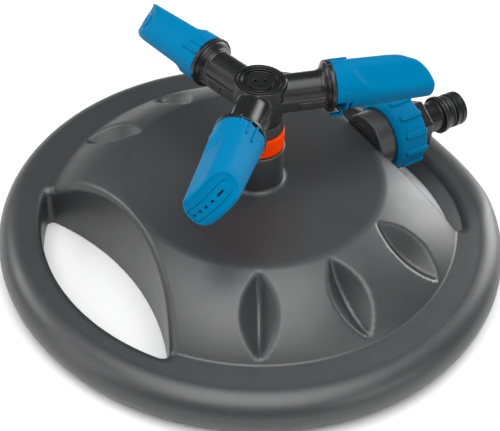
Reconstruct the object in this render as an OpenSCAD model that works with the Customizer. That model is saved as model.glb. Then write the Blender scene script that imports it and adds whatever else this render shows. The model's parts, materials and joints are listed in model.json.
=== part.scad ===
// Three-arm rotary lawn sprinkler: a round base with two hand-holds, a hollow spindle, and a
// rotor whose three nozzles turn on their arms. Water enters along X through a union.
// Origin on the rotor axis at ground level, +X out through the inlet, +Z up.

/* [Base] */
// Radius of the base at its widest
base_r = 110; // [106:0.5:114]
// Height of the flat disc in the middle
disc_z = 39.5; // [37:0.5:42]
// Radius of the flat disc
disc_r = 55.1; // [53:0.1:57]
// Radius of the crease between the slope and the rim
crease_r = 88.7; // [86:0.1:90]
// Height of that crease
crease_z = 19.4; // [18:0.1:21]
// Radius of curvature of the slope
slope_curve_r = 77; // [60:1:120]
// Half width of the rim's oval section
rim_half_w = 10.4; // [9:0.1:11]
// Half height of the rim's oval section
rim_half_h = 9.8; // [9:0.1:10]
// Wall thickness of the base
wall = 2.5; // [2:0.1:3]

/* [Hand-holds] */
// Radius of the outer edge of a hand-hold
hold_out_r = 91.5; // [90:0.5:93]
// Distance from the rotor axis to the inner wall of a hand-hold
hold_in_d = 57.4; // [56.8:0.1:57.4]
// Radius of curvature of the inner wall
hold_in_r = 110; // [100:1:120]
// Radius of the corners of a hand-hold
hold_corner_r = 4; // [3:0.5:6]
// Height of the floor of the saddle under the hose connector
saddle_z = 14.5; // [13:0.5:17]
// Radius of curvature of that saddle
saddle_r = 112; // [80:1:160]

/* [Grip dimples] */
// Length of a dimple down the slope
dimple_len = 35; // [30:1:38]
// Depth of its valley below the chord of the slope
dimple_depth = 5.5; // [3:0.5:7]
// Angle between neighbouring dimples
dimple_pitch = 30; // [28:1:34]

/* [Riser] */
// Radius of the boss in the middle of the base
boss_r = 12; // [11:0.5:13]
// Height of the top of the boss
boss_z = 57.2; // [55:0.1:58]
// Radius of the retaining ring
ring_r = 11.4; // [11:0.1:12]
// Height of the top of the retaining ring
ring_z = 66.1; // [65.9:0.1:66.2]
// Radius of the spindle where the rotor runs on it
journal_r = 6; // [5.8:0.1:6.2]
// Running clearance, measured on the radius
run_fit = 0.05; // [0.02:0.01:0.1]

/* [Rotor] */
// Radius of the hub
hub_r = 10.55; // [10.2:0.05:11]
// Height of the top of the hub
hub_z = 89.5; // [89.3:0.1:90]
// Height of the axes of the arms
arm_z = 82.5; // [82.4:0.05:82.7]
// Radius of an arm tube
arm_r = 6.9; // [6.8:0.1:7.1]
// Turn of the first arm away from the inlet
arm_turn = -17.4; // [-60:0.1:60]
// Distance from the rotor axis to the end face of an arm's flange
arm_len = 29.5; // [28:0.5:31]
// Radius of the rim of that flange
flange_r = 10.7; // [10.5:0.05:11]

/* [Nozzles] */
// Length of a nozzle
nozzle_len = 43; // [42:0.5:45]
// Radius of the collar of a nozzle
collar_r = 10.5; // [10.4:0.1:10.8]
// Radius of the body at its tip
tip_r = 9.2; // [9:0.1:9.6]
// Distance between the two flats
flat_gap = 16.9; // [16:0.1:18]
// how much the flats close in towards the tip, degrees
flat_draft = 1.8; // [0:0.1:3]
// Elevation of the spray direction, on the anticlockwise side of the arm
spray_tilt = 46; // [40:1:60]
// Radius of the rounded nose
nose_r = 18.2; // [17:0.1:19]
// Width of the strip that holds the jets
strip_w = 5.8; // [5:0.1:7]

/* [Inlet] */
// Height of the axis of the inlet
inlet_z = 34; // [33:0.1:35]
// Radius of the threaded neck
neck_r = 13.15; // [13:0.05:13.2]
// Distance from the rotor axis to the end of the neck
neck_x = 75; // [74.5:0.1:75.5]
// Radius of the pipe inside the base
pipe_r = 7; // [6.5:0.1:7]
// Height of the axis of that pipe
pipe_z = 27.9; // [27.5:0.1:28]

/* [Union] */
// Radius of the union nut
nut_r = 17; // [16:0.5:18]
// Distance from the rotor axis to the nut's inner face
nut_x = 66; // [65:0.5:67]
// Length of the nut
nut_len = 15; // [14.8:0.1:16]
// Radius over the corners of the connector's hexagon
hex_r = 11.8; // [11:0.1:12]
// Radius of the nipple that takes a hose coupling
nipple_r = 7.95; // [7.9:0.05:8]
// Distance from the rotor axis to the tip of the connector
tip_x = 111; // [110:0.5:113]

/* [Hidden] */
$fn = 96;

grey = "#55585b";
black = "#1f2224";
blue = "#0a7db0";
orange = "#ff5a00";
steel = "#b8bcc0";
rubber = "#151515";
ivory = "#e8e4d8";

big = 200;         // longer than any cut
gap = 0.1;         // between flat faces of pieces that turn on each other

slope_start = [disc_r, disc_z];
slope_end = [crease_r, crease_z];
slope_mid = (slope_start + slope_end) / 2;
slope_dir = (slope_end - slope_start) / norm(slope_end - slope_start);
slope_out = [-slope_dir[1], slope_dir[0]];
slope_tilt = -atan2(slope_dir[1], slope_dir[0]);
rim_mid = [base_r - rim_half_w, 9];
foot_r = rim_mid[0] + 4;

hold_mid_x = hold_in_d + hold_in_r;

dimple_sag = dimple_depth * cos(45);
dimple_r = (pow(dimple_len / 2, 2) + pow(dimple_sag, 2)) / (2 * dimple_sag);

stub_r = 8.4;      // threaded stub on the boss
stub_z = ring_z - 2.6;
flange_top_z = ring_z - 1.1;
riser_r = 8.2;     // elbow tube inside the boss
riser_top_z = 52;
plug_r = 6.5;      // lower end of the spindle
elbow_r = 9;
elbow_floor_z = 20;
elbow_end_x = 24;
plate_z = 30;      // underside of the elbow's plate
plate_h = 3;
post_d = 17;       // screw posts from the rotor axis
post_turns = [90, 180, 270];

washer_top_z = ring_z + 0.5;
sleeve_z = washer_top_z + gap;
sleeve_top_z = 76.5;
hub_floor_z = 75;
chamber_r = 7.8;
cap_z = 86.5;      // seat of the cap
cap_r = 8.8;
clip_z = sleeve_top_z + 0.2;
clip_h = 0.8;
port_z = 80.5;

shoulder_w = 15.6; // square shoulders along the lower half of an arm
shoulder_h = 5.2;
spigot_len = 9.5;  // part of the arm inside the nozzle
seal_x = arm_len + 4;
seal_w = 1.8;
arm_turns = [for (i = [0:2]) arm_turn + 120 * i];
nozzle_x = arm_len + 0.2;
nose_u = nozzle_len - 0.3 - nose_r;
nose_s = -(nose_r - 9.9);
strip_t = 1.8;     // thickness of the spray strip
strip_angles = [2.5, 66];
jet_angles = [6, 15.1, 24.4, 35.1];
jet_r = 0.6;
slot_angle = 48.7;
scoop_u = 14.3;    // where a flat begins
scoop_r = 5;
scoop_slant = 31;  // lean of that edge

neck_back_x = hold_in_d + 0.1;
pipe_end_x = 13.2;
pipe_seal_x = 17;
nut_bore_r = neck_r + 0.07;
washer_x = neck_x + gap / 2;
washer_w = 1.45;
flange_x = washer_x + washer_w;
flange_w = 2.1;
lip_x = flange_x + flange_w + 0.15;
hex_x = nut_x + nut_len;
hex_w = 8;
waist_r = 6.85;
shoulder_x = tip_x - 13;
groove_x = tip_x - 8;
groove_w = 2.4;
o_ring_r = 0.8;

// Points on an arc that bulges to the left of the line from p to q.
function bulge(p, q, radius, steps) =
    let (d = q - p,
        side = [-d[1], d[0]] / norm(d),
        c = (p + q) / 2 - side * sqrt(radius * radius - d * d / 4),
        a = atan2(p[1] - c[1], p[0] - c[0]),
        b = atan2(q[1] - c[1], q[0] - c[0]))
    [for (i = [0:steps]) arc_point(c, radius, a + (b - a) * i / steps)];

function arc_point(c, radius, angle) = c + radius * [cos(angle), sin(angle)];

function arc(c, radius, from, to, steps) =
    [for (i = [0:steps]) arc_point(c, radius, from + (to - from) * i / steps)];

// Outline of a hand-hold, grown outwards by a margin: two arcs with rounded corners.
function hold_outline(margin) =
    let (out = hold_out_r + margin,
        inn = hold_in_r + margin,
        corner = hold_corner_r + margin,
        cx = (pow(out - corner, 2) - pow(inn - corner, 2) + pow(hold_mid_x, 2))
            / (2 * hold_mid_x),
        cy = sqrt(pow(out - corner, 2) - cx * cx),
        a = atan2(cy, cx),
        b = atan2(cy, hold_mid_x - cx))
    concat(arc([0, 0], out, -a, a, 24),
        arc([cx, cy], corner, a, 180 - b, 8),
        arc([hold_mid_x, 0], inn, 180 - b, 180 + b, 20),
        arc([cx, -cy], corner, 180 + b, 360 - a, 8));

// Section of the base, moved inwards by a margin.
function base_section(margin, floor_z) = concat(
    [[0, floor_z], [0, disc_z - margin], [disc_r - margin / 3, disc_z - margin]],
    [for (p = bulge(slope_start, slope_end, slope_curve_r, 10)) p - margin * slope_out],
    [for (a = [90:-7.5:-60]) rim_mid
        + [(rim_half_w - margin) * cos(a), (rim_half_h - margin) * sin(a)]],
    [[foot_r - margin, floor_z]]);

// A solid of revolution about X from points given as [x, radius].
module turned_x(points, z = 0) {
    translate([0, 0, z])
        rotate([0, 90, 0])
            rotate_extrude()
                polygon([for (p = points) [p[1], p[0]]]);
}

module rod_x(radius, x0, x1, z = 0) {
    translate([x0, 0, z])
        rotate([0, 90, 0])
            cylinder(r = radius, h = x1 - x0);
}

module rod_z(radius, z0, z1) {
    translate([0, 0, z0])
        cylinder(r = radius, h = z1 - z0);
}

module ring_of(radius, section_r) {
    rotate_extrude()
        translate([radius, 0])
            circle(r = section_r, $fn = 32);
}

module both_holds() {
    for (a = [0, 180])
        rotate([0, 0, a])
            children();
}

// Two leaning cylinders cross in a valley with a leaf-shaped mouth.
module dimple(margin) {
    translate([slope_mid[0], 0, slope_mid[1]])
        rotate([0, slope_tilt, 0])
            intersection_for (lean = [-45, 45])
                rotate([lean, 0, 0])
                    translate([0, 0, dimple_r - dimple_sag])
                        rotate([90, 0, 0])
                            cylinder(r = dimple_r + margin, h = big, center = true);
}

module all_dimples(margin) {
    for (side = [90, 270], step = [-1:1])
        rotate([0, 0, side + step * dimple_pitch])
            dimple(margin);
}

module saddle(margin) {
    rod_x(saddle_r + margin, hold_out_r - 8, big, saddle_z + saddle_r);
}

module at_posts() {
    for (a = post_turns)
        rotate([0, 0, a])
            translate([post_d, 0, 0])
                children();
}

module base_cavity() {
    difference() {
        rotate_extrude()
            polygon(base_section(wall, -1));
        both_holds()
            translate([0, 0, -2])
                linear_extrude(height = big)
                    polygon(hold_outline(wall));
        all_dimples(wall);
        saddle(wall);
        at_posts()
            rod_z(3.6, plate_z + plate_h, disc_z);
    }
}

module base_shell() {
    color(grey)
        difference() {
            union() {
                difference() {
                    rotate_extrude()
                        polygon(base_section(0, 0));
                    base_cavity();
                }
                rod_z(boss_r, disc_z - wall, boss_z);
                rod_z(stub_r, boss_z - 1, stub_z);
            }
            both_holds()
                translate([0, 0, -1])
                    linear_extrude(height = big)
                        polygon(hold_outline(0));
            all_dimples(0);
            saddle(0);
            rod_x(pipe_r + gap, hold_in_d - 10, hold_in_d + 5, pipe_z);
            rod_x(neck_r + gap, neck_back_x - gap / 2, hold_in_d + 5, inlet_z);
            rod_z(riser_r + gap, disc_z - 10, riser_top_z + 1);
            rod_z(plug_r + gap, riser_top_z, big);
            at_posts()
                rod_z(1.5, plate_z, disc_z - 1.5);
        }
}

module inlet_pipe() {
    color(grey)
        difference() {
            union() {
                rod_x(pipe_r, pipe_end_x, neck_back_x + 2, pipe_z);
                rod_x(neck_r, neck_back_x, neck_x, inlet_z);
            }
            rod_x(pipe_r - 1.8, pipe_end_x - 1, neck_back_x + 5, pipe_z);
            rod_x(neck_r - 3.5, neck_back_x + 3, neck_x + 1, inlet_z);
            difference() {
                rod_x(pipe_r + 1, pipe_seal_x, pipe_seal_x + 1.9, pipe_z);
                rod_x(pipe_r - 0.8, pipe_seal_x - 1, pipe_seal_x + 3, pipe_z);
            }
        }
}

module pipe_seal() {
    color(rubber)
        translate([pipe_seal_x + 0.95, 0, pipe_z])
            rotate([0, 90, 0])
                ring_of(pipe_r - 0.39, 0.4);
}

module riser_elbow() {
    color(black)
        difference() {
            union() {
                rod_z(elbow_r, elbow_floor_z - 2.5, disc_z - wall - gap);
                rod_z(riser_r, disc_z - wall - 1, riser_top_z);
                rod_x(elbow_r, 0, elbow_end_x, pipe_z);
                rod_z(post_d + 4, plate_z, plate_z + plate_h);
            }
            rod_z(5.6, elbow_floor_z, disc_z);
            rod_z(plug_r + gap / 2, disc_z - 1, riser_top_z + 1);
            rod_x(pipe_r - 1.8, 0, pipe_end_x, pipe_z);
            rod_x(pipe_r + gap / 2, pipe_end_x - 0.2, elbow_end_x + 1, pipe_z);
            at_posts()
                rod_z(1.7, plate_z - 1, plate_z + plate_h + 1);
        }
}

module elbow_screws() {
    color(steel)
        at_posts()
            difference() {
                union() {
                    rod_z(3, plate_z - 2.2, plate_z);
                    rod_z(1.45, plate_z - 1, plate_z + 7);
                }
                translate([0, 0, plate_z - 1.6])
                    for (a = [0, 90])
                        rotate([0, 0, a])
                            cube([3.2, 0.7, 1.4], center = true);
            }
}

module spindle() {
    color(ivory)
        difference() {
            union() {
                rod_z(plug_r, disc_z, stub_z);
                rod_z(stub_r - gap, stub_z, flange_top_z);
                rod_z(journal_r, flange_top_z, clip_z);
                rod_z(journal_r - 1, clip_z, clip_z + clip_h);
                rod_z(journal_r - 0.4, clip_z + clip_h, clip_z + clip_h + 1);
                rod_z(4.6, clip_z + clip_h, cap_z - 1.5);
            }
            rod_z(3.6, disc_z - 1, cap_z - 3.5);
            for (a = [0, 60, 120])
                rotate([0, 0, a])
                    rod_x(1.4, -big, big, port_z + 0.5);
            difference() {
                rod_z(plug_r + 1, disc_z + 3, disc_z + 4.9);
                rod_z(plug_r - 0.8, disc_z, disc_z + 6);
            }
        }
}

module spindle_seal() {
    color(rubber)
        translate([0, 0, disc_z + 3.95])
            ring_of(plug_r - 0.39, 0.4);
}

module retaining_ring() {
    ribs = 60;
    color(orange)
        difference() {
            translate([0, 0, boss_z])
                linear_extrude(height = ring_z - boss_z)
                    polygon([for (i = [0:2 * ribs - 1])
                        arc_point([0, 0], ring_r - 0.35 * (i % 2), i * 180 / ribs)]);
            rod_z(stub_r, boss_z - 1, flange_top_z);
            rod_z(journal_r + 0.5, boss_z, ring_z + 1);
        }
}

module thrust_washer() {
    color(ivory)
        difference() {
            rod_z(9.4, ring_z, washer_top_z);
            rod_z(journal_r + gap, ring_z - 1, washer_top_z + 1);
        }
}

// Open ring that snaps into the spindle's groove.
module retaining_clip() {
    color(steel)
        difference() {
            rod_z(journal_r + 1.1, clip_z, clip_z + clip_h);
            rod_z(journal_r - 1, clip_z - 1, clip_z + clip_h + 1);
            translate([0, -1.5, clip_z - 1])
                cube([12, 3, 4]);
        }
}

module rotor_sleeve() {
    color(black)
        difference() {
            union() {
                translate([0, 0, sleeve_z])
                    cylinder(r1 = 10.9, r2 = 10.2, h = hub_floor_z - sleeve_z);
                rod_z(chamber_r - gap, hub_floor_z - 1, sleeve_top_z);
            }
            rod_z(journal_r + run_fit, sleeve_z - 1, sleeve_top_z + 1);
            rod_z(journal_r + 1, hub_floor_z, sleeve_top_z + 1);
        }
}

module rotor_seal() {
    color(rubber)
        difference() {
            rod_z(journal_r + 0.95, hub_floor_z + gap, sleeve_top_z - gap);
            rod_z(journal_r + run_fit, hub_floor_z, sleeve_top_z);
        }
}

module at_arms() {
    for (a = arm_turns)
        rotate([0, 0, a])
            translate([0, 0, arm_z])
                children();
}

// Tube with square shoulders below its middle, a flared flange with a pointer on top, and the
// spigot that the nozzle turns on.
module arm_outside() {
    turned_x([[0, 0], [0, arm_r], [arm_len - 4, arm_r], [arm_len - 3, 7.9], [arm_len - 2.2, 9.4],
        [arm_len - 1.8, 9.5], [arm_len - 1.8, flange_r], [arm_len, flange_r], [arm_len, arm_r],
        [arm_len + spigot_len, arm_r], [arm_len + spigot_len, 0]]);
    translate([hub_r - 1.5, -shoulder_w / 2, -shoulder_h])
        cube([arm_len - 3 - hub_r + 1.5, shoulder_w, shoulder_h]);
    translate([arm_len - 1.8, -0.5, flange_r - 1])
        cube([1.8, 1, 1.8]);
}

module rotor_hub() {
    color(black)
        difference() {
            union() {
                rod_z(hub_r, hub_floor_z, hub_z);
                at_arms()
                    arm_outside();
            }
            rod_z(chamber_r, hub_floor_z - 1, cap_z);
            rod_z(cap_r + gap, cap_z, big);
            at_arms() {
                rod_x(3.3, 0, arm_len);
                rod_x(arm_r - 2.2, 13, arm_len + spigot_len + 1);
                difference() {
                    rod_x(arm_r + 1, seal_x, seal_x + seal_w);
                    rod_x(arm_r - 1, seal_x - 1, seal_x + seal_w + 1);
                }
            }
        }
}

// Round cap with a ring groove and three small dimples.
module hub_cap() {
    color(black)
        difference() {
            rod_z(cap_r, cap_z, hub_z - 0.2);
            difference() {
                rod_z(7.6, hub_z - 0.9, hub_z);
                rod_z(5.8, hub_z - 1, hub_z + 1);
            }
            for (a = [30, 150, 270])
                rotate([0, 0, a])
                    translate([2, 0, 0])
                        rod_z(0.6, hub_z - 1.2, hub_z);
        }
}

module nozzle_seals() {
    color(rubber)
        at_arms()
            translate([seal_x + seal_w / 2, 0, 0])
                rotate([0, 90, 0])
                    ring_of(arm_r - 0.53, 0.45);
}

// In the nozzle's own axes: X outwards, Y towards the spray, Z across the flats.
module nose_profile() {
    linear_extrude(height = big, center = true)
        polygon(concat([[-big, -tip_r - 0.1], [-big, big], [nose_u, big]],
            arc([nose_u, nose_s], nose_r, 90, 0, 20),
            [[nose_u + nose_r - 0.4, -tip_r - 0.1]]));
}

module flats_profile() {
    half = flat_gap / 2;
    scoop = arc([0, half + scoop_r], scoop_r, 210, 270, 8);
    translate([scoop_u, 0, 0])
        rotate([0, 0, scoop_slant])
            rotate([90, 0, 0])
                linear_extrude(height = big, center = true)
                    polygon(concat([[-big, big], [scoop[0][0], big]], scoop,
                        [[big, half - big * tan(flat_draft)], [big, big * tan(flat_draft) - half]],
                        [for (i = [8:-1:0]) [scoop[i][0], -scoop[i][1]]],
                        [[scoop[0][0], -big], [-big, -big]]));
}

module strip_sector(inner, outer, width, from, to) {
    translate([nose_u, nose_s, 0])
        linear_extrude(height = width, center = true)
            polygon(concat(arc([0, 0], outer, from, to, 16), arc([0, 0], inner, to, from, 16)));
}

module nozzle_shape() {
    difference() {
        union() {
            rotate([spray_tilt, 0, 0])
                intersection() {
                    turned_x([[0, 0], [0, collar_r], [nozzle_len, tip_r], [nozzle_len, 0]]);
                    nose_profile();
                    flats_profile();
                }
            // three raised setting lines
            for (i = [0:2])
                rotate([-6 - 19.5 * i, 0, 0])
                    translate([0.6, -0.35, collar_r - 1.5])
                        cube([4.1 + 1.9 * i, 0.7, 2]);
            // finger tab
            rotate([-15, 0, 0]) {
                translate([4, -1, -collar_r - 3.6])
                    cube([1.4, 2, 5]);
                translate([0.4, -1, -collar_r - 3.6])
                    cube([5, 2, 1.6]);
            }
        }
        rod_x(arm_r + run_fit, -1, spigot_len + 0.4);
        rod_x(5.4, spigot_len, nose_u + 6.5);
        rotate([spray_tilt, 0, 0]) {
            strip_sector(8, nose_r - strip_t + 0.1, strip_w - 2, strip_angles[0] + 1,
                strip_angles[1] - 8);
            strip_sector(nose_r - strip_t, nose_r + 3, strip_w, strip_angles[0], strip_angles[1]);
        }
    }
}

module nozzle(i) {
    color(blue)
        rotate([0, 0, arm_turns[i]])
            translate([nozzle_x, 0, arm_z])
                nozzle_shape();
}

// Curved strip with one slot and a row of four jets.
module jet_plate(i) {
    color(blue)
        rotate([0, 0, arm_turns[i]])
            translate([nozzle_x, 0, arm_z])
                rotate([spray_tilt, 0, 0])
                    difference() {
                        strip_sector(nose_r - strip_t, nose_r + 0.3, strip_w - 0.1,
                            strip_angles[0] + 0.2, strip_angles[1] - 0.2);
                        for (a = jet_angles)
                            translate([nose_u, nose_s, 0])
                                rotate([0, 0, a])
                                    rod_x(jet_r, 10, 25);
                        translate([nose_u, nose_s, 0])
                            rotate([0, 0, slot_angle])
                                translate([10, -1.4, -jet_r])
                                    cube([15, 2.8, 2 * jet_r]);
                    }
}

module nozzle_1() {
    nozzle(0);
}

module nozzle_2() {
    nozzle(1);
}

module nozzle_3() {
    nozzle(2);
}

module jet_plate_1() {
    jet_plate(0);
}

module jet_plate_2() {
    jet_plate(1);
}

module jet_plate_3() {
    jet_plate(2);
}

module union_nut() {
    flutes = 12;
    color(blue)
        difference() {
            turned_x([[nut_x, 0], [nut_x, nut_r - 2.5], [nut_x + 3, nut_r],
                [nut_x + nut_len, nut_r], [nut_x + nut_len, 0]], inlet_z);
            rod_x(nut_bore_r, nut_x - 1, lip_x, inlet_z);
            rod_x(hex_r + 0.3, lip_x - 1, nut_x + nut_len + 1, inlet_z);
            for (i = [0:flutes - 1])
                translate([0, 0, inlet_z])
                    rotate([360 / flutes * i, 0, 0])
                        rod_x(2, nut_x + 4, nut_x + nut_len + 1, nut_r + 0.7);
        }
}

module union_washer() {
    color(rubber)
        difference() {
            rod_x(neck_r - 0.2, washer_x, flange_x, inlet_z);
            rod_x(neck_r - 3.5, washer_x - 1, flange_x + 1, inlet_z);
        }
}

module hose_connector() {
    color(black)
        difference() {
            union() {
                turned_x([[flange_x, 0], [flange_x, neck_r - 0.1],
                    [flange_x + flange_w, neck_r - 0.1], [flange_x + flange_w, 10.5],
                    [hex_x, 10.5], [hex_x, 9], [hex_x + hex_w, 9], [hex_x + hex_w, waist_r],
                    [shoulder_x, waist_r], [shoulder_x, nipple_r + 0.8],
                    [shoulder_x + 2.5, nipple_r + 0.8], [shoulder_x + 2.5, nipple_r],
                    [groove_x, nipple_r], [groove_x, 6.3], [groove_x + groove_w, 6.3],
                    [groove_x + groove_w, nipple_r], [tip_x, nipple_r], [tip_x, 0]], inlet_z);
                translate([hex_x, 0, inlet_z])
                    rotate([0, 90, 0])
                        cylinder(r = hex_r, h = hex_w, $fn = 6);
            }
            rod_x(5, flange_x - 1, tip_x + 1, inlet_z);
        }
}

module connector_o_ring() {
    color(rubber)
        translate([groove_x + groove_w / 2, 0, inlet_z])
            rotate([0, 90, 0])
                ring_of(7.1, o_ring_r - 0.02);
}

base_shell();
inlet_pipe();
pipe_seal();
riser_elbow();
elbow_screws();
spindle();
spindle_seal();
retaining_ring();
thrust_washer();
retaining_clip();
rotor_sleeve();
rotor_seal();
rotor_hub();
hub_cap();
nozzle_seals();
nozzle_1();
nozzle_2();
nozzle_3();
jet_plate_1();
jet_plate_2();
jet_plate_3();
union_nut();
union_washer();
hose_connector();
connector_o_ring();
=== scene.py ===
import json
import math

import bpy
import numpy as np
from mathutils import Matrix, Vector


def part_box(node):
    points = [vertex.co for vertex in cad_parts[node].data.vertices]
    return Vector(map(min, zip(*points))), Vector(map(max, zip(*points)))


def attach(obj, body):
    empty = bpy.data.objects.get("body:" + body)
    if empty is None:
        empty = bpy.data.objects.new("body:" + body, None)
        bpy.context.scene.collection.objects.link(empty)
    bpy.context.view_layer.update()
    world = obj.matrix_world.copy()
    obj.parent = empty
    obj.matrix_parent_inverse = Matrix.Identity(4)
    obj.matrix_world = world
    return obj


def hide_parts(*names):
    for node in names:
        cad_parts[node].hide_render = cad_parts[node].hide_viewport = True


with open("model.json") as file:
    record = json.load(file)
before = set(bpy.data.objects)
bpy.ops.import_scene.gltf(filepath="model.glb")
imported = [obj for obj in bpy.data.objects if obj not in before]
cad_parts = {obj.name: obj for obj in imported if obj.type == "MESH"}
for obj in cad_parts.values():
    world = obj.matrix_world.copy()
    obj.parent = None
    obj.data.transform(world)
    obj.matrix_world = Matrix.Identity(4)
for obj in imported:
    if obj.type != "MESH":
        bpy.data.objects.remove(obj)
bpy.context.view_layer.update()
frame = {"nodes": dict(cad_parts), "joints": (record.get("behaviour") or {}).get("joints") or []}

MM = 0.001


# ---- Sizes, in millimetres, read off the frame where the frame has them ----

def span(node):
    """Lowest and highest corner of a CAD node, in millimetres."""
    low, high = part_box(node)
    return low / MM, high / MM


def joint(name):
    """A joint of the frame, by its name."""
    return [j for j in frame["joints"] if j["name"] == name][0]


BASE_R = span("base_shell")[1].y
RING_LOW, RING_HIGH = span("retaining_ring")
STUB_TOP_Z = span("base_shell")[1].z
HUB_TOP_Z = span("hub_cap")[1].z + 0.2
HUB_LOW_Z = span("rotor_hub")[0].z
CAP_LOW_Z = span("hub_cap")[0].z
SLEEVE_LOW, SLEEVE_HIGH = span("rotor_sleeve")
ARM_Z = joint("nozzle_one_turn")["pos_m"][2] / MM
ARM_TURNS = [math.atan2(joint(name)["axis"][1], joint(name)["axis"][0])
             for name in ("nozzle_one_turn", "nozzle_two_turn", "nozzle_three_turn")]
INLET_Z = (span("union_nut")[0].z + span("union_nut")[1].z) / 2
NUT_X, NUT_END_X = span("union_nut")[0].x, span("union_nut")[1].x
NUT_R = (span("union_nut")[1].z - span("union_nut")[0].z) / 2
PIPE_START_X, NECK_END_X = span("inlet_pipe")[0].x, span("inlet_pipe")[1].x
NECK_R = (span("inlet_pipe")[1].y - span("inlet_pipe")[0].y) / 2
FLANGE_X, TIP_X = span("hose_connector")[0].x, span("hose_connector")[1].x

# Base: a disc, a slope down to a crease, an oval rim, and two hand-holds, each between a
# circle about the base's axis and a larger one whose near side is at HOLD_IN_D.
WALL = 2.5
DISC_Z, DISC_R = 39.5, 55.1
CREASE_R, CREASE_Z = 88.7, 19.4
SLOPE_CURVE_R = 77.0
RIM_TOP_Z, RIM_MID_Z = 18.8, 9.0
RIM_HALF_W = 10.4
HOLD_OUT_R, HOLD_IN_D, HOLD_IN_R = 91.5, 57.4, 110.0
BOSS_R = 12.0
STUB_R = 8.4
PIPE_Z, PIPE_R = 27.9, 7.0
NECK_X = 57.5

# Rotor: the drum is a little wider above the middle of the arms.
HUB_R, HUB_LOW_R = 10.55, 10.25
ARM_R, ARM_LEN, FLANGE_R = 6.9, 29.5, 10.7
SPIGOT_LEN = 9.5

# Nozzles: a cone cut by two drafted flats and by the nose, an arc about NOSE_U, NOSE_S.
NOZZLE_X, NOZZLE_LEN = 29.7, 43.0
COLLAR_R, TIP_R = 10.5, 9.2
SPRAY_TILT = math.radians(46)
NOSE_R = 18.2
NOSE_U, NOSE_S = NOZZLE_LEN - 0.3 - NOSE_R, 9.9 - NOSE_R
FLAT, FLAT_DRAFT = 8.45, math.tan(math.radians(1.8))
SCOOP_U = 14.3
RECESS = 0.9
STRIP_W, STRIP_T = 5.8, 1.8
STRIP_FROM, STRIP_TO = math.radians(2.5), math.radians(66)
JETS = [math.radians(a) for a in (6, 15.1, 24.4, 35.1)]
JET_R = 0.6
SLOT = math.radians(48.7)

# Surface finder: the step the gradient is measured over, and how far and how many times a
# point may move to reach the surface.
GRADIENT_STEP = 0.02
SNAP_REACH, SNAP_ROUNDS = 1.5, 4


# ---- Signed distance shapes: negative inside, arrays in millimetres ----

def join(a, b, r):
    """Union with a fillet of radius r in the corner."""
    return np.maximum(r, np.minimum(a, b)) - np.hypot(np.maximum(r - a, 0), np.maximum(r - b, 0))


def both(a, b, r):
    """Intersection with a rounded edge of radius r."""
    return np.minimum(-r, np.maximum(a, b)) + np.hypot(np.maximum(r + a, 0), np.maximum(r + b, 0))


def cut(a, b, r):
    """a with b taken out, the new edge rounded to radius r."""
    return both(a, -b, r)


def ease(value, low, high):
    """0 at low, 1 at high, smooth between."""
    t = np.clip((value - low) / (high - low), 0, 1)
    return t * t * (3 - 2 * t)


def net_points(inside, grid):
    """The mean crossing point in each grid cell the surface runs through, and the number of
    that point for every cell, -1 where there is none."""
    sizes = tuple(n - 1 for n in inside.shape)
    total = np.zeros(sizes + (3,))
    count = np.zeros(sizes)
    corners = [(i, j, k) for i in (0, 1) for j in (0, 1) for k in (0, 1)]

    def at(array, corner):
        return array[tuple(slice(o, o + n) for o, n in zip(corner, sizes))]

    for axis in range(3):
        for low in (q for q in corners if q[axis] == 0):
            high = tuple(q + (n == axis) for n, q in enumerate(low))
            u, v = at(inside, low), at(inside, high)
            crossing = (u < 0) != (v < 0)
            t = np.where(crossing, u / np.where(crossing, u - v, 1), 0)
            point = at(grid, low) * (1 - t)[..., None] + at(grid, high) * t[..., None]
            total += np.where(crossing[..., None], point, 0)
            count += crossing
    used = count > 0
    number = np.full(sizes, -1)
    number[used] = np.arange(used.sum())
    return total[used] / count[used][:, None], number


def net_faces(inside, number, wrap):
    """A quad round each grid edge that crosses the surface, facing out."""
    sizes = number.shape
    faces = []
    for axis in range(3):
        p, q = [n for n in range(3) if n != axis]
        shifts = [(-1, -1), (0, -1), (0, 0), (-1, 0)]
        if axis == 1:
            shifts = shifts[::-1]
        first = [slice(None)] * 3
        first[axis] = slice(0, sizes[axis])
        second = list(first)
        second[axis] = slice(1, sizes[axis] + 1)
        u, v = inside[tuple(first)], inside[tuple(second)]
        crossing = (u < 0) != (v < 0)
        for n in (p, q):
            ends = [slice(-1, None)] if n == 1 and wrap else [slice(0, 1), slice(-1, None)]
            for end in ends:
                edge = [slice(None)] * 3
                edge[n] = end
                crossing[tuple(edge)] = False
        where = np.argwhere(crossing)
        ring = []
        for dp, dq in shifts:
            cell = where.copy()
            cell[:, p] += dp
            cell[:, q] += dq
            if wrap:
                cell[:, 1] %= sizes[1]
            ring.append(number[tuple(cell.T)])
        ring = np.stack(ring, 1)
        outward = u[tuple(where.T)] < 0
        faces.append(np.where(outward[:, None], ring, ring[:, ::-1]))
    faces = np.concatenate(faces)
    return faces[(faces >= 0).all(1)]


def gradient(field, points):
    """How fast the field grows along each axis."""
    parts = []
    for n in range(3):
        shift = np.zeros(3)
        shift[n] = GRADIENT_STEP
        parts.append((field(*(points + shift).T) - field(*(points - shift).T))
                     / (2 * GRADIENT_STEP))
    return np.stack(parts, -1)


def snap(field, points):
    """The points moved on to the surface where field is zero."""
    for _ in range(SNAP_ROUNDS):
        steep = gradient(field, points)
        size = np.maximum((steep ** 2).sum(-1), 0.05)
        move = (field(*points.T) / size)[:, None] * steep
        length = np.linalg.norm(move, axis=-1, keepdims=True)
        points = points - move * np.minimum(1, SNAP_REACH / np.maximum(length, 1e-9))
    return points


def as_given(a, b, c):
    return a, b, c


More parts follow.
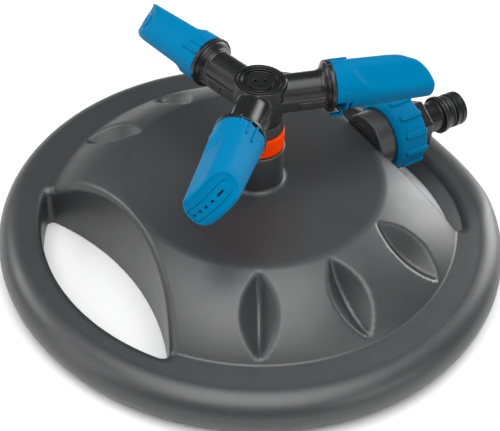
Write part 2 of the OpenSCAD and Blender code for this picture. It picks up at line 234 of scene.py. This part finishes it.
def skin(field, axes, place=as_given, wrap=False):
    """Points, faces and normals of the surface where field is zero, by surface nets on the
    grid lines in axes. place turns grid values into x, y, z. With wrap the second set of
    lines goes round and closes. The normals are the field's own gradient."""
    a, b, c = axes
    if wrap:
        b = np.append(b, b[0] + 2 * np.pi)
    grid = np.stack(np.meshgrid(a, b, c, indexing="ij"), -1)
    inside = field(*place(grid[..., 0], grid[..., 1], grid[..., 2]))
    rough, number = net_points(inside, grid)
    points = snap(field, np.stack(place(*rough.T), -1))
    normals = gradient(field, points)
    normals /= np.maximum(np.linalg.norm(normals, axis=-1, keepdims=True), 1e-9)
    return points, net_faces(inside, number, wrap), normals


def add_piece(name, surface, body, slot, material, *nodes):
    """Smooth-shaded piece from a surface in millimetres, in place of CAD nodes."""
    points, faces, normals = surface
    mesh = bpy.data.meshes.new(name)
    mesh.from_pydata((points * MM).tolist(), [], faces.tolist())
    mesh.shade_smooth()
    mesh.normals_split_custom_set_from_vertices(normals.tolist())
    mesh.materials.append(material)
    piece = bpy.data.objects.new(name, mesh)
    bpy.context.scene.collection.objects.link(piece)
    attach(piece, body)
    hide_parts(*nodes)


def on_arm(surface, turn):
    """A surface made in an arm's own axes, at that arm."""
    points, faces, normals = surface
    spin = np.array([[math.cos(turn), -math.sin(turn), 0],
                     [math.sin(turn), math.cos(turn), 0],
                     [0, 0, 1]])
    return (points + np.array([NOZZLE_X, 0, ARM_Z])) @ spin.T, faces, normals @ spin.T


def lines(*stops):
    """Grid lines through stops given as start, step, start, step, ..., end."""
    parts = []
    for n in range(0, len(stops) - 2, 2):
        low, step, high = stops[n:n + 3]
        parts.append(np.linspace(low, high, max(2, round((high - low) / step) + 1))[:-1])
    return np.append(np.concatenate(parts), stops[-1])


def polar(r, turn, z):
    """Grid values round the base's upright axis, as x, y, z."""
    return r * np.cos(turn), r * np.sin(turn), z


def polar_x(r, turn, x):
    """Grid values round the inlet's level axis, as x, y, z."""
    return x, r * np.cos(turn), INLET_Z + r * np.sin(turn)


def ring_of_lines(count):
    """Grid lines evenly round a full turn, without the last one."""
    return np.linspace(0, 2 * np.pi, count, endpoint=False)


def slab(value, low, high):
    """Space between two values."""
    return np.maximum(low - value, value - high)


def box_field(*sizes, r=0.3):
    """Box from (value, low, high) along each axis, with rounded edges."""
    out = slab(*sizes[0])
    for size in sizes[1:]:
        out = both(out, slab(*size), r)
    return out


# ---- Materials ----

GRAIN, GRAIN_RELIEF = 0.0002, 0.012 * MM
CLOUD_SCALE, GLOSS_SCALE = 35, 120


def plastic(name, colour, roughness, shift=0.12, sheen=(1, 1, 1), gloss=0.5):
    """Moulded plastic: fine spark-eroded grain, faint flow marks and uneven gloss. The colour
    wanders by the share in shift, and sheen tints the highlights."""
    material = bpy.data.materials.new(name)
    material.use_nodes = True
    nodes, links = material.node_tree.nodes, material.node_tree.links
    shader = nodes["Principled BSDF"]
    shader.inputs["IOR"].default_value = 1.5
    shader.inputs["Specular IOR Level"].default_value = gloss
    shader.inputs["Specular Tint"].default_value = (*sheen, 1)
    place = nodes.new("ShaderNodeTexCoord").outputs["Object"]

    def noise(scale, detail):
        node = nodes.new("ShaderNodeTexNoise")
        node.inputs["Scale"].default_value = scale
        node.inputs["Detail"].default_value = detail
        links.new(place, node.inputs["Vector"])
        return node.outputs["Fac"]

    def between(value, low, high):
        node = nodes.new("ShaderNodeMapRange")
        node.inputs["To Min"].default_value = low
        node.inputs["To Max"].default_value = high
        links.new(value, node.inputs["Value"])
        return node.outputs["Result"]

    tint = nodes.new("ShaderNodeMix")
    tint.data_type = "RGBA"
    tint.inputs["A"].default_value = (*[c * (1 - shift) for c in colour], 1)
    tint.inputs["B"].default_value = (*[min(1, c * (1 + shift)) for c in colour], 1)
    links.new(noise(CLOUD_SCALE, 3), tint.inputs["Factor"])
    links.new(tint.outputs["Result"], shader.inputs["Base Color"])
    links.new(between(noise(GLOSS_SCALE, 4), roughness - 0.05, roughness + 0.06),
              shader.inputs["Roughness"])
    bump = nodes.new("ShaderNodeBump")
    bump.inputs["Strength"].default_value = 0.35
    bump.inputs["Distance"].default_value = GRAIN_RELIEF
    links.new(noise(1 / GRAIN, 2), bump.inputs["Height"])
    links.new(bump.outputs["Normal"], shader.inputs["Normal"])
    return material


GREY = plastic("grey_plastic", (0.03, 0.031, 0.0325), 0.4, gloss=0.75)
BLACK = plastic("black_plastic", (0.006, 0.0063, 0.0066), 0.3)
BLUE = plastic("blue_plastic", (0.0, 0.155, 0.325), 0.5, shift=0.06, sheen=(0.0, 0.4, 0.7),
               gloss=0.12)
ORANGE = plastic("orange_plastic", (1.0, 0.06, 0.0), 0.45, shift=0.05, sheen=(1, 0.2, 0.0),
                 gloss=0.3)
IVORY = plastic("ivory_acetal", (0.74, 0.7, 0.6), 0.35)
RUBBER = plastic("black_rubber", (0.014, 0.014, 0.014), 0.6)
STEEL = plastic("zinc_steel", (0.5, 0.51, 0.53), 0.32)
STEEL.node_tree.nodes["Principled BSDF"].inputs["Metallic"].default_value = 1


# ---- Base ----

def slope_arc():
    """In the r-z plane: the centre of the arc that the slope follows, the middle of the
    straight line between its ends, and that line's directions along and outwards."""
    start, end = np.array([DISC_R, DISC_Z]), np.array([CREASE_R, CREASE_Z])
    length = np.linalg.norm(end - start)
    along = (end - start) / length
    side = np.array([start[1] - end[1], end[0] - start[0]]) / length
    mid = (start + end) / 2
    centre = mid - side * math.sqrt(SLOPE_CURVE_R ** 2 - (length / 2) ** 2)
    return centre, mid, along, side


def rim_field(r, z):
    """Oval rim that runs on inwards as a slab, rising 0.6 in every 11."""
    half_h = RIM_TOP_Z - RIM_MID_Z
    middle_r = BASE_R - RIM_HALF_W
    rise = np.clip(middle_r - r, 0, 40) / 11 * 0.6
    out = np.maximum(r - middle_r, 0)
    up = z - RIM_MID_Z
    q = np.hypot(out / RIM_HALF_W, up / half_h)
    steep = np.hypot(out / RIM_HALF_W ** 2, up / half_h ** 2)
    oval = q * (q - 1) / np.maximum(steep, 1e-3)
    return np.where(out > 0, oval, up - half_h - rise)


def hold_field(x, y):
    """Outline of the hand-holds, the same at every height."""
    x = np.abs(x)
    outer = np.hypot(x, y) - HOLD_OUT_R
    inner = np.hypot(x - HOLD_IN_D - HOLD_IN_R, y) - HOLD_IN_R
    corner_r = 4.0
    return both(outer, inner, corner_r)


def dimple_field(x, y, z):
    """Leaf-shaped valleys where two leaning cylinders cross, three on each side."""
    _, mid, along, side = slope_arc()
    depth, half_length = 5.5, 17.5
    lean = math.sqrt(0.5)
    sag = depth * lean
    radius = (half_length ** 2 + sag ** 2) / (2 * sag)
    turn = np.arctan2(y, x)
    pitch = math.radians(30)
    side_turn = np.where(y >= 0, math.pi / 2, -math.pi / 2)
    nearest = side_turn + np.clip(np.round((turn - side_turn) / pitch), -1, 1) * pitch
    r = np.hypot(x, y)
    out = r * np.cos(turn - nearest) - mid[0]
    across = r * np.sin(turn - nearest)
    down = out * along[0] + (z - mid[1]) * along[1]
    proud = out * side[0] + (z - mid[1]) * side[1]
    left, right = [np.hypot(down, proud * lean + way * across * lean - (radius - sag)) - radius
                   for way in (-1, 1)]
    return both(left, right, 1.6)


def saddle_field(x, y, z):
    """Shallow trough across the rim under the hose connector."""
    radius, low_z, start_x = 112, 14.5, HOLD_OUT_R - 8
    trough = np.hypot(y, z - low_z - radius) - radius
    return np.maximum(trough, start_x - x)


def cavity_field(x, y, z, outer):
    """The hollow underneath, a wall's thickness inside outer, with three screw posts."""
    r = np.hypot(x, y)
    rim_wall_r, rim_ceiling_z, hold_wall = 101, 10, WALL + 1.2
    thick = WALL + 1.5 * (1 - ease(saddle_field(x, y, z), 9, 15))
    cavity = np.minimum(outer + thick, np.maximum(r - rim_wall_r, z - rim_ceiling_z))
    cavity = np.maximum(cavity, hold_wall - hold_field(x, y))
    post_at, post_r, post_low_z = 17, 3.6, 33
    for turn in (90, 180, 270):
        post = np.hypot(x - post_at * math.cos(math.radians(turn)),
                        y - post_at * math.sin(math.radians(turn)))
        cavity = np.maximum(cavity, np.minimum(post_r - post, z - post_low_z))
    return cavity


def base_field(x, y, z):
    """The moulded shell: disc, slope, rim, dimples, hand-holds, boss and the stub on it."""
    r = np.hypot(x, y)
    centre = slope_arc()[0]
    slope = np.hypot(r - centre[0], z - centre[1]) - SLOPE_CURVE_R
    outer = join(both(z - DISC_Z, slope, 0.5), rim_field(r, z), 0.4)
    outer = cut(outer, dimple_field(x, y, z), 0.9)
    outer = cut(outer, saddle_field(x, y, z), 9.0)
    boss = both(r - BOSS_R, z - RING_LOW.z, 0.7)
    stub = both(r - STUB_R + 0.1, z - STUB_TOP_Z, 0.3)
    body = join(join(outer, boss, 2.6), stub, 0.1)
    lip = 2.0 + 1.6 * ease(r, 60, 90)
    body = cut(body, hold_field(x, y), lip)
    body = cut(body, cavity_field(x, y, z, outer), 0.4)
    elbow_r, elbow_top_z, spindle_r, pipe_hole_x = 8.3, 53, 6.6, 48
    bore = np.minimum(np.maximum(r - elbow_r, z - elbow_top_z), r - spindle_r)
    pipe_hole = np.maximum(np.hypot(y, z - PIPE_Z) - PIPE_R - 0.1, pipe_hole_x - x)
    body = np.maximum(body, -np.minimum(bore, pipe_hole))
    return both(body, -z, 0.5)


def make_base():
    """The grid is finer at the bore, the disc's edge, the crease and along level edges."""
    across = lines(6.0, 0.7, 9.5, 0.9, 11, 0.6, 17, 3.2, 54.4, 0.6, 56.2, 1.6, 87.8, 0.5,
                   89.6, 1.5, 111.2)
    upright = lines(-0.9, 0.6, 1.5, 1.5, 18, 0.6, 20.4, 1.4, 36.3, 0.6, 42.3, 2.0, 55.5, 0.6,
                    58.5, 1.5, 64.5)
    surface = skin(base_field, (across, ring_of_lines(330), upright), polar, wrap=True)
    add_piece("base", surface, "base", "base_grey", GREY, "base_shell")


# ---- Inlet: neck and pipe in one piece ----

def inlet_field(x, y, z):
    """Threaded neck and the narrower, lower pipe. A fine groove rings the neck's back face."""
    rho = np.hypot(y, z - INLET_Z)
    rho_pipe = np.hypot(y, z - PIPE_Z)
    pipe_bore_r, neck_bore_r, groove_r = 5.2, 9.6, 9.3
    neck = both(rho - NECK_R, slab(x, NECK_X, NECK_END_X), 0.9)
    pipe = both(rho_pipe - PIPE_R, slab(x, PIPE_START_X, NECK_X + 2), 0.3)
    groove = np.hypot(rho - groove_r, x - NECK_X) - 0.3
    body = cut(np.minimum(neck, pipe), groove, 0.15)
    inside = np.minimum(np.maximum(rho_pipe - pipe_bore_r, x - NECK_X - 4),
                        np.maximum(rho - neck_bore_r, NECK_X + 3 - x))
    return cut(body, inside, 0.3)


def make_inlet():
    grid = (lines(PIPE_START_X - 1, 1.2, 55.5, 0.4, 59.5, 0.7, NECK_END_X + 1),
            lines(-14, 0.5, 14), lines(20, 0.5, 48))
    add_piece("inlet", skin(inlet_field, grid), "base", "base_grey", GREY, "inlet_pipe")


# ---- Retaining ring and rotor ----

def ring_field(x, y, z):
    """Ring with sixty ribs round it that stop short of its smooth upper edge."""
    r = np.hypot(x, y)
    count, rib_half, inner_r = 60, 0.2, 6.5
    low, high = RING_LOW.z + 0.25, RING_HIGH.z
    ribs = np.clip(np.cos(np.arctan2(y, x) * count) * 1.6, -1, 1)
    ribbed = 1 - ease(z, high - 1.6, high - 0.9)
    radius = RING_HIGH.x - 0.22 + rib_half * ribs * ribbed
    body = both(r - radius, slab(z, low, high), 0.45)
    inside = np.minimum(np.maximum(r - STUB_R, z - high + 1.1), r - inner_r)
    return cut(body, inside, 0.2)


def make_ring():
    grid = (lines(6, 0.7, 10.2, 0.35, 12), ring_of_lines(480),
            lines(RING_LOW.z - 0.8, 0.4, RING_LOW.z + 1, 1.2, RING_HIGH.z - 2, 0.35,
                  RING_HIGH.z + 0.8))
    add_piece("retaining_ring_ribbed", skin(ring_field, grid, polar, wrap=True), "base",
              "ring_orange", ORANGE, "retaining_ring")


def sleeve_field(x, y, z):
    """Rotor neck: a skirt that flares downwards, and a plug up into the hub."""
    r = np.hypot(x, y)
    low, high = SLEEVE_LOW.z, SLEEVE_HIGH.z
    foot_r, plug_r, bore_r, upper_bore_r = 10.9, 7.7, 6.05, 7
    flare = HUB_LOW_R + (HUB_LOW_Z - z) * (foot_r - HUB_LOW_R) / (HUB_LOW_Z - low)
    skirt = both(r - flare, slab(z, low, HUB_LOW_Z), 0.35)
    plug = both(r - plug_r, slab(z, HUB_LOW_Z - 1, high), 0.2)
    inside = np.minimum(r - bore_r, np.maximum(r - upper_bore_r, HUB_LOW_Z - z))
    return cut(np.minimum(skirt, plug), inside, 0.25)


def make_sleeve():
    grid = (lines(5.5, 0.4, 11.8), ring_of_lines(160),
            lines(SLEEVE_LOW.z - 0.8, 0.35, SLEEVE_HIGH.z + 0.8))
    add_piece("sleeve", skin(sleeve_field, grid, polar, wrap=True), "rotor", "hub_black", BLACK,
              "rotor_sleeve")


def fold_to_arm(x, y):
    """Distances along and across the nearest of the three arms."""
    third = 2 * np.pi / 3
    turn = np.arctan2(y, x) - ARM_TURNS[0]
    turn = (turn + third / 2) % third - third / 2
    r = np.hypot(x, y)
    return r * np.cos(turn), r * np.sin(turn)


def latch_field(u, c, z):
    """Raised arrow-shaped outline on the side of an arm's shoulder."""
    start, waist, point, end = 15.0, 21.6, 25.2, 26.2
    up = z + 2.3
    half = 0.75 - 0.35 * ease(-np.abs(u - waist), -1.4, 0) - 0.75 * ease(u, point, 26.6)
    ridge = np.abs(np.maximum(np.abs(up) - half, slab(u, start, end))) - 0.32
    return both(ridge, np.abs(c) - 8.3, 0.2)


def arm_field(u, c, z):
    """One arm outside: tube, shoulders, flared flange with its pointer, spigot."""
    rho = np.hypot(c, z)
    tube = both(rho - ARM_R, u - ARM_LEN - SPIGOT_LEN, 0.5)
    seal_groove = both(slab(u, ARM_LEN + 4, ARM_LEN + 5.8), ARM_R - 1 - rho, 0.1)
    tube = cut(tube, seal_groove, 0.1)
    shoulders = box_field((c, -7.8, 7.8), (z, -5.2, 0.0), (u, 0, ARM_LEN - 2.4), r=0.35)
    groove = box_field((np.abs(c), 5.0, 7.0), (z, -1.4, 2.0), (u, 13.0, ARM_LEN - 2), r=0.2)
    shoulders = np.minimum(cut(shoulders, groove, 0.2), latch_field(u, c, z))
    flare = 7.2 + 2.4 * ease(u, ARM_LEN - 4.4, ARM_LEN - 2.0)
    bell = both(rho - flare, slab(u, ARM_LEN - 5, ARM_LEN), 0.2)
    rim = both(rho - FLANGE_R, slab(u, ARM_LEN - 1.9, ARM_LEN), 0.35)
    pointer = box_field((c, -0.35, 0.35), (z, FLANGE_R - 1, FLANGE_R + 0.3),
                        (u, ARM_LEN - 1.9, ARM_LEN), r=0.15)
    return np.minimum(join(join(tube, shoulders, 0.3), join(bell, rim, 0.4), 0.5), pointer)


def hub_field(x, y, z):
    """Drum with three arms, a seat for the cap, and the waterway out to each spigot."""
    r = np.hypot(x, y)
    u, c = fold_to_arm(x, y)
    up = z - ARM_Z
    rho = np.hypot(c, up)
    cap_seat_r, well_r, arm_bore_r, spigot_bore_u = 8.9, 7.8, 3.3, 13
    step = (HUB_R - HUB_LOW_R) * ease(z, ARM_Z + 0.1, ARM_Z + 0.5)
    drum = both(r - HUB_LOW_R - step, slab(z, HUB_LOW_Z, HUB_TOP_Z), 0.35)
    body = join(drum, arm_field(u, c, up), 0.5)
    body = cut(body, np.maximum(r - cap_seat_r, CAP_LOW_Z - z), 0.2)
    waterway = np.minimum(np.maximum(r - well_r, z - CAP_LOW_Z), rho - arm_bore_r)
    waterway = np.minimum(waterway, np.maximum(rho - ARM_R + 2.2, spigot_bore_u - u))
    return cut(body, waterway, 0.25)


def make_hub():
    reach = ARM_LEN + SPIGOT_LEN + 1
    across = lines(-reach, 0.45, reach)
    grid = (across, across, lines(ARM_Z - FLANGE_R - 1, 0.45, ARM_Z + FLANGE_R + 1))
    add_piece("hub", skin(hub_field, grid), "rotor", "hub_black", BLACK, "rotor_hub")


def cap_field(x, y, z):
    """Flat outer ring, a groove inside it, and a slightly dished disc with three holes."""
    r = np.hypot(x, y)
    top = HUB_TOP_Z - 0.25
    cap_r, groove_r, disc_r, dish_depth = 8.8, 7.5, 5.5, 0.7
    body = both(r - cap_r, slab(z, CAP_LOW_Z, top), 0.3)
    groove = both(slab(r, disc_r, groove_r), top - 1.1 - z, 0.2)
    sunk = dish_depth * (1 - (np.minimum(r, disc_r) / disc_r) ** 2)
    dish = np.maximum(r - disc_r, top - 0.1 - sunk - z)
    body = cut(body, groove, 0.2)
    body = cut(body, dish, 0.1)
    hole_at, hole_r, third = 2.3, 0.68, 2 * np.pi / 3
    turn = (np.arctan2(y, x) + third / 2) % third - third / 2
    hole = np.hypot(r * np.cos(turn) - hole_at, r * np.sin(turn)) - hole_r
    return cut(body, np.maximum(hole, top - 2.4 - z), 0.15)


def make_cap():
    across = lines(-9.4, 0.3, 9.4)
    grid = (across, across, lines(CAP_LOW_Z - 0.6, 0.2, HUB_TOP_Z + 0.4))
    add_piece("cap", skin(cap_field, grid), "rotor", "hub_black", BLACK, "hub_cap")


# ---- Nozzles, in an arm's axes: u outwards, c anticlockwise, z up ----

def to_spray(c, z):
    """s along the spray direction, n across the flats."""
    return (c * math.cos(SPRAY_TILT) + z * math.sin(SPRAY_TILT),
            z * math.cos(SPRAY_TILT) - c * math.sin(SPRAY_TILT))


def from_spray(u, s, n):
    """Back to u, c and z from u, s and n."""
    return (u, s * math.cos(SPRAY_TILT) - n * math.sin(SPRAY_TILT),
            s * math.sin(SPRAY_TILT) + n * math.cos(SPRAY_TILT))


def nose_field(u, s):
    """Below the flat upper side, which curves down as an arc beyond NOSE_U."""
    past = np.hypot(u - NOSE_U, s - NOSE_S) - NOSE_R
    return np.where(u > NOSE_U, past, s - NOSE_S - NOSE_R)


def strip_outline(u, s, n, half, start, end):
    """Strip of half width half from angle start to end on the nose, its far end round."""
    turn = np.arctan2(s - NOSE_S, u - NOSE_U)
    past = np.maximum((turn - end) * NOSE_R + half, 0)
    short = (start - turn) * NOSE_R
    return both(np.hypot(n, past) - half, short, 0.5)


def round_collar(c, z, degrees):
    """Distances outwards and across at an angle round the collar from its top."""
    turn = math.radians(degrees)
    return (z * math.cos(turn) + c * math.sin(turn), c * math.cos(turn) - z * math.sin(turn))


def marks_field(u, c, z):
    """Three raised setting lines on top of the collar, each longer than the last."""
    first, pitch, shortest, longer = 6, 19.5, 4.7, 1.95
    marks = []
    for i in range(3):
        up, across = round_collar(c, z, first + pitch * i)
        marks.append(box_field((across, -0.4, 0.4), (up, COLLAR_R - 2, COLLAR_R + 0.35),
                               (u, -0.1, shortest + longer * i), r=0.2))
    return np.minimum.reduce(marks)


def tab_field(u, c, z):
    """L-shaped finger tab under the collar, carried on as a low ridge round its side."""
    up, across = round_collar(c, z, 195)
    start, end, foot_start, reach = 4.0, 5.4, 0.4, COLLAR_R + 3.5
    stem = box_field((across, -1, 1), (up, COLLAR_R - 1.5, reach), (u, start, end), r=0.25)
    foot = box_field((across, -1, 1), (up, COLLAR_R + 2.0, reach), (u, foot_start, end), r=0.25)
    ridge = box_field((np.hypot(c, z), COLLAR_R - 2, COLLAR_R + 0.3), (u, start, end),
                      (across, 0, COLLAR_R + 1), (up, 0, COLLAR_R + 1), r=0.2)
    return np.minimum(np.minimum(stem, foot), ridge)


def recess_field(u, s, n):
    """Shallow recess round the strip, deeper towards the top of the nose."""
    r = np.hypot(u - NOSE_U, s - NOSE_S)
    turn = np.arctan2(s - NOSE_S, u - NOSE_U)
    top_turn, side_r = math.radians(73.6), 17.6
    outline = both(side_r * (turn - top_turn), -6.2 - n, 6)
    depth = RECESS * (0.35 + 0.65 * ease(turn, math.radians(20), math.radians(50)))
    return both(NOSE_R - depth - r, both(outline, n - 7.4, 6), 1.6)


def scoop_field(u, s, away):
    """What the flats take off, beyond a slanting line where they run out in a curve. away is
    how far a point lies outside the flats."""
    slant, curve_r = math.radians(31), 5
    along = (u - SCOOP_U) * math.cos(slant) + s * math.sin(slant)
    return np.where(along < 0, np.hypot(along, away - curve_r) - curve_r, -away)


def nozzle_hollow(u, s, n, rho):
    """Chamber over the spigot, and the seat of the strip with an opening behind it."""
    r = np.hypot(u - NOSE_U, s - NOSE_S)
    chamber_r, opening_r = 5.4, 8
    chamber = np.minimum(np.maximum(rho - ARM_R - 0.05, u - SPIGOT_LEN - 0.4),
                         np.maximum(rho - chamber_r, u - NOSE_U - 6.5))
    opening = np.maximum(strip_outline(u, s, n, STRIP_W / 2 - 1, STRIP_FROM + 0.02,
                                       STRIP_TO - 0.1), opening_r - r)
    seat = np.maximum(strip_outline(u, s, n, STRIP_W / 2 + 0.04, STRIP_FROM, STRIP_TO),
                      NOSE_R - RECESS - STRIP_T - r)
    return chamber, np.minimum(opening, seat)


def nozzle_field(u, c, z):
    """The nozzle's body. Its nose has a tighter edge on one flat (n above 0) than the other."""
    s, n = to_spray(c, z)
    rho = np.hypot(c, z)
    cone = both(rho - COLLAR_R + (COLLAR_R - TIP_R) * u / NOZZLE_LEN, -u, 0.35)
    away = np.abs(n) - FLAT + FLAT_DRAFT * (u - SCOOP_U)
    edge = np.where(n > 0, 2.2, 5.5)
    nose = both(nose_field(u, s), away - 0.75 - 6 * (1 - ease(u, 20, 26)), edge)
    body = both(cone, nose, 0.8 + 0.6 * ease(-s, 4, 8))
    body = cut(body, scoop_field(u, s, away), 0.7)
    body = cut(body, recess_field(u, s, n), 0.35)
    body = join(body, marks_field(u, c, z), 0.2)
    body = join(body, tab_field(u, c, z), 0.3)
    chamber, openings = nozzle_hollow(u, s, n, rho)
    return cut(np.maximum(body, -chamber), openings, 0.1)


def strip_field(u, c, z):
    """Spray strip with four round jets and a slot."""
    s, n = to_spray(c, z)
    r = np.hypot(u - NOSE_U, s - NOSE_S)
    turn = np.arctan2(s - NOSE_S, u - NOSE_U)
    proud, play, slot_half, slot_r = 0.35, 0.004, 1.1, 0.5
    outline = strip_outline(u, s, n, STRIP_W / 2 - 0.04, STRIP_FROM + play, STRIP_TO - play)
    thickness = slab(r, NOSE_R - RECESS - STRIP_T, NOSE_R - RECESS + proud)
    body = both(outline, thickness, 0.25)
    holes = [np.hypot(np.sin(turn - a) * r, n) - JET_R for a in JETS]
    along = np.sin(turn - SLOT) * r
    slot = np.hypot(np.maximum(np.abs(along) - slot_half, 0), n) - slot_r
    return cut(body, np.minimum.reduce(holes + [slot]), 0.12)


def make_nozzles():
    """The body and strip are each made once, then placed on the three arms."""
    grid = (lines(-2.9, 0.42, 22, 0.42, 44), lines(-15, 0.42, 12), lines(-15, 0.42, 12))
    nozzle = skin(lambda u, s, n: nozzle_field(*from_spray(u, s, n)), grid)
    fine = (lines(29.5, 0.22, 43.2), lines(-9, 0.22, 9.8), lines(-3.3, 0.22, 3.3))
    strip = skin(lambda u, s, n: strip_field(*from_spray(u, s, n)), fine)
    bodies = ("nozzle_one", "nozzle_two", "nozzle_three")
    for number, (turn, body) in enumerate(zip(ARM_TURNS, bodies), 1):
        for name, surface, node in (("nozzle_body", nozzle, "nozzle"),
                                    ("jet_strip", strip, "jet_plate")):
            points, faces, normals = surface
            turned = (np.stack(from_spray(*points.T), -1), faces,
                      np.stack(from_spray(*normals.T), -1))
            add_piece(f"{name}_{number}", on_arm(turned, turn), body, "nozzle_blue", BLUE,
                      f"{node}_{number}")


# ---- Union nut and hose connector, about the inlet's axis ----

def nut_field(x, y, z):
    """Barrel chamfered at the neck end, with twelve raised ribs that run to its other end."""
    rho = np.hypot(y, z - INLET_Z)
    turn = np.arctan2(z - INLET_Z, y)
    count, rib_half, rib_start_x, end_wall, end_bore_r = 12, 1.35, NUT_X + 5.2, 2.9, 12.1
    barrel_r, fall, fall_length = NUT_R - 1.15, 0.8, 1.28
    chamfer = (rho - barrel_r - (x - NUT_X) * fall + 1.3) / fall_length
    body = both(both(rho - barrel_r, chamfer, 0.6), slab(x, NUT_X, NUT_END_X), 0.35)
    pitch = 2 * np.pi / count
    near = (turn + pitch / 2) % pitch - pitch / 2
    across, out = rho * np.sin(near), rho * np.cos(near)
    past = np.maximum(rib_start_x - x, 0)
    rib = both(np.hypot(across, past) - rib_half, both(out - NUT_R, x - NUT_END_X, 0.5), 0.5)
    body = join(body, np.maximum(rib, 13.5 - rho), 0.5)
    bore = np.minimum(np.maximum(rho - NECK_R - 0.07, x - NUT_END_X + end_wall),
                      rho - end_bore_r)
    return cut(body, bore, 0.4)


def make_nut():
    grid = (lines(11.6, 0.4, 17.8), ring_of_lines(360), lines(NUT_X - 0.8, 0.4, NUT_END_X + 0.8))
    add_piece("nut", skin(nut_field, grid, polar_x, wrap=True), "nut", "nozzle_blue", BLUE,
              "union_nut")


def connector_field(x, y, z):
    """From the neck outwards: flange, hexagon, stem, collar, grooved plug end; bored through."""
    rho = np.hypot(y, z - INLET_Z)
    turn = np.arctan2(z - INLET_Z, y)
    sixth = np.pi / 3
    near = (turn + sixth / 2) % sixth - sixth / 2
    shank_r, flat_r, corner_r = 10.5, 10.2, 11.6
    stem_r, collar_r, plug_r, bore_r = 6.85, 8.7, 7.95, 5
    hex_x = NUT_END_X + 2.0
    flange = both(rho - NECK_R + 0.1, slab(x, FLANGE_X, FLANGE_X + 2.1), 0.2)
    body = np.minimum(flange, both(rho - shank_r, slab(x, FLANGE_X, hex_x), 0.4))
    hexagon = both(rho * np.cos(near) - flat_r, rho - corner_r, 0.3)
    body = join(body, both(hexagon, slab(x, hex_x, NUT_END_X + 7.6), 0.5), 0.2)
    body = join(body, both(rho - stem_r, slab(x, FLANGE_X, TIP_X - 3), 0.3), 1.1)
    body = join(body, both(rho - collar_r, slab(x, TIP_X - 13, TIP_X - 10.5), 0.45), 0.5)
    plug = both(rho - plug_r, slab(x, TIP_X - 12, TIP_X), 0.8)
    seal_groove = both(slab(x, TIP_X - 8, TIP_X - 5.6), 6.3 - rho, 0.1)
    fine_groove = both(slab(x, TIP_X - 3.4, TIP_X - 2.6), 7.5 - rho, 0.1)
    body = cut(np.minimum(body, cut(plug, seal_groove, 0.2)), fine_groove, 0.2)
    return cut(body, rho - bore_r, 0.5)


def make_connector():
    grid = (lines(4.4, 0.4, 13.8), ring_of_lines(180), lines(FLANGE_X - 0.8, 0.4, TIP_X + 0.8))
    add_piece("connector", skin(connector_field, grid, polar_x, wrap=True), "connector",
              "hub_black", BLACK, "hose_connector")


# ---- CAD nodes that stay: their finish ----

def paint_nodes():
    """Inner pieces keep their CAD shape and only get a material."""
    finish = {"riser_elbow": BLACK, "elbow_screws": STEEL, "spindle": IVORY,
              "thrust_washer": IVORY, "retaining_clip": STEEL}
    for name in ("pipe_seal", "spindle_seal", "rotor_seal", "nozzle_seals", "union_washer",
                 "connector_o_ring"):
        finish[name] = RUBBER
    for name, material in finish.items():
        for place in frame["nodes"][name].material_slots:
            place.material = material


# ---- Camera, light and floor ----

def make_camera():
    """The photograph's viewpoint: heading round the part, dip below level, and roll."""
    place, lens, sensor = (-0.2243, -0.3326, 0.3895), 90.06, 36
    heading, dip, roll = (math.radians(v) for v in (56.15, 42.99, 3.24))
    forward = Vector((math.cos(heading) * math.cos(dip), math.sin(heading) * math.cos(dip),
                      -math.sin(dip)))
    level = forward.cross(Vector((0, 0, 1))).normalized()
    right = Matrix.Rotation(-roll, 4, forward) @ level
    up = right.cross(forward)
    data = bpy.data.cameras.new("camera")
    data.lens, data.sensor_width = lens, sensor
    camera = bpy.data.objects.new("camera", data)
    facing = Matrix((right, up, -forward)).transposed().to_4x4()
    camera.matrix_world = Matrix.Translation(place) @ facing
    bpy.context.scene.collection.objects.link(camera)
    bpy.context.scene.camera = camera


def area_light(name, at, size, power):
    """Soft rectangular lamp that points at the middle of the part."""
    target = (0, 0, 0.03)
    data = bpy.data.lights.new(name, "AREA")
    data.shape = "RECTANGLE"
    data.size, data.size_y = size
    data.energy = power
    lamp = bpy.data.objects.new(name, data)
    lamp.location = at
    lamp.rotation_euler = (Vector(target) - Vector(at)).to_track_quat("-Z", "Y").to_euler()
    bpy.context.scene.collection.objects.link(lamp)


def make_light():
    """Dim white surroundings and five lamps."""
    world = bpy.data.worlds.new("studio")
    world.use_nodes = True
    world.node_tree.nodes["Background"].inputs["Color"].default_value = (1, 1, 1, 1)
    world.node_tree.nodes["Background"].inputs["Strength"].default_value = 0.15
    bpy.context.scene.world = world
    bpy.context.scene.view_settings.view_transform = "Standard"
    area_light("overhead", (-0.12, -0.2, 0.85), (0.9, 0.9), 10)
    area_light("right", (0.85, 0.15, 0.3), (0.4, 0.6), 5)
    area_light("left", (-0.8, 0.1, 0.35), (0.4, 0.6), 1.5)
    area_light("back_left", (-0.5, 0.6, 0.45), (0.4, 0.3), 2)
    area_light("front", (0.25, -0.8, 0.35), (0.5, 0.3), 1.2)


def make_floor():
    """Plain pale floor, three metres to each side."""
    reach = 3.0
    mesh = bpy.data.meshes.new("floor")
    mesh.from_pydata([(-reach, -reach, 0), (reach, -reach, 0), (reach, reach, 0),
                      (-reach, reach, 0)], [], [(0, 1, 2, 3)])
    floor = bpy.data.objects.new("floor", mesh)
    bpy.context.scene.collection.objects.link(floor)
    surface = bpy.data.materials.new("floor_paint")
    surface.use_nodes = True
    shader = surface.node_tree.nodes["Principled BSDF"]
    shader.inputs["Base Color"].default_value = (0.9, 0.9, 0.9, 1)
    shader.inputs["Roughness"].default_value = 0.9
    mesh.materials.append(surface)


make_camera()
make_light()
make_floor()
make_base()
make_inlet()
make_ring()
make_sleeve()
make_hub()
make_cap()
make_nozzles()
make_nut()
make_connector()
paint_nodes()
